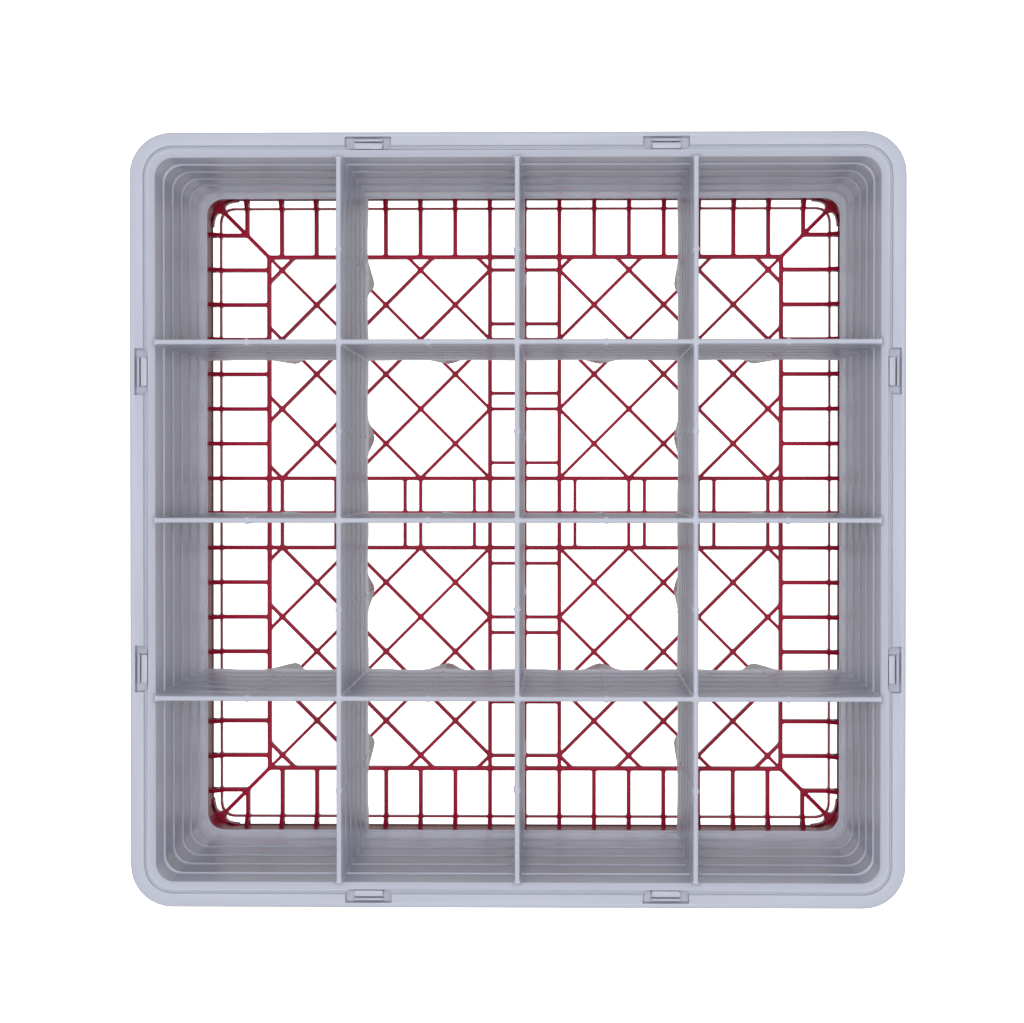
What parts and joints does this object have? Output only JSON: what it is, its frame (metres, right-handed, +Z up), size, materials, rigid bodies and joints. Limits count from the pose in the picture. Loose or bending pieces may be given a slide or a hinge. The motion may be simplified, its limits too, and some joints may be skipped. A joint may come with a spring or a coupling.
{
  "type": "compartment bottle rack",
  "caption": "Square open-floored bottle rack: a red lattice base carrying a stack of grey clip-on extender frames with crossed dividers.",
  "frame": {"origin": "centre of the underside of the base walls, on the surface that the rack stands on", "axes": "+Z up along the stacking direction; +X and +Y square to the side walls, the rack being the same from each side"},
  "size_m": [0.5, 0.5, 0.3491],
  "materials": {
    "base_plastic": "satin moulded polypropylene, deep cranberry red",
    "extender_plastic": "satin moulded polypropylene, soft cool grey"
  },
  "bodies": {
    "base": {"base_walls": "base_plastic", "base_floor_grid": "base_plastic"},
    "extender_1": {"extender_1_frame": "extender_plastic", "extender_1_divider_x1": "extender_plastic", "extender_1_divider_y1": "extender_plastic", "extender_1_divider_x2": "extender_plastic", "extender_1_divider_y2": "extender_plastic", "extender_1_divider_x3": "extender_plastic", "extender_1_divider_y3": "extender_plastic"},
    "extender_2": {"extender_2_frame": "extender_plastic", "extender_2_divider_x1": "extender_plastic", "extender_2_divider_y1": "extender_plastic", "extender_2_divider_x2": "extender_plastic", "extender_2_divider_y2": "extender_plastic", "extender_2_divider_x3": "extender_plastic", "extender_2_divider_y3": "extender_plastic"},
    "extender_3": {"extender_3_frame": "extender_plastic", "extender_3_divider_x1": "extender_plastic", "extender_3_divider_y1": "extender_plastic", "extender_3_divider_x2": "extender_plastic", "extender_3_divider_y2": "extender_plastic", "extender_3_divider_x3": "extender_plastic", "extender_3_divider_y3": "extender_plastic"},
    "extender_4": {"extender_4_frame": "extender_plastic", "extender_4_divider_x1": "extender_plastic", "extender_4_divider_y1": "extender_plastic", "extender_4_divider_x2": "extender_plastic", "extender_4_divider_y2": "extender_plastic", "extender_4_divider_x3": "extender_plastic", "extender_4_divider_y3": "extender_plastic"},
    "extender_5": {"extender_5_frame": "extender_plastic", "extender_5_divider_x1": "extender_plastic", "extender_5_divider_y1": "extender_plastic", "extender_5_divider_x2": "extender_plastic", "extender_5_divider_y2": "extender_plastic", "extender_5_divider_x3": "extender_plastic", "extender_5_divider_y3": "extender_plastic"},
    "extender_6": {"extender_6_frame": "extender_plastic", "extender_6_divider_x1": "extender_plastic", "extender_6_divider_y1": "extender_plastic", "extender_6_divider_x2": "extender_plastic", "extender_6_divider_y2": "extender_plastic", "extender_6_divider_x3": "extender_plastic", "extender_6_divider_y3": "extender_plastic"}
  },
  "joints": [
    {"name": "extender_1_lift", "type": "slide", "parent": "base", "child": "extender_1", "axis": [0, 0, 1], "range_m": [0, 0.12]},
    {"name": "extender_2_lift", "type": "slide", "parent": "extender_1", "child": "extender_2", "axis": [0, 0, 1], "range_m": [0, 0.06]},
    {"name": "extender_3_lift", "type": "slide", "parent": "extender_2", "child": "extender_3", "axis": [0, 0, 1], "range_m": [0, 0.06]},
    {"name": "extender_4_lift", "type": "slide", "parent": "extender_3", "child": "extender_4", "axis": [0, 0, 1], "range_m": [0, 0.06]},
    {"name": "extender_5_lift", "type": "slide", "parent": "extender_4", "child": "extender_5", "axis": [0, 0, 1], "range_m": [0, 0.06]},
    {"name": "extender_6_lift", "type": "slide", "parent": "extender_5", "child": "extender_6", "axis": [0, 0, 1], "range_m": [0, 0.06]}
  ]
}
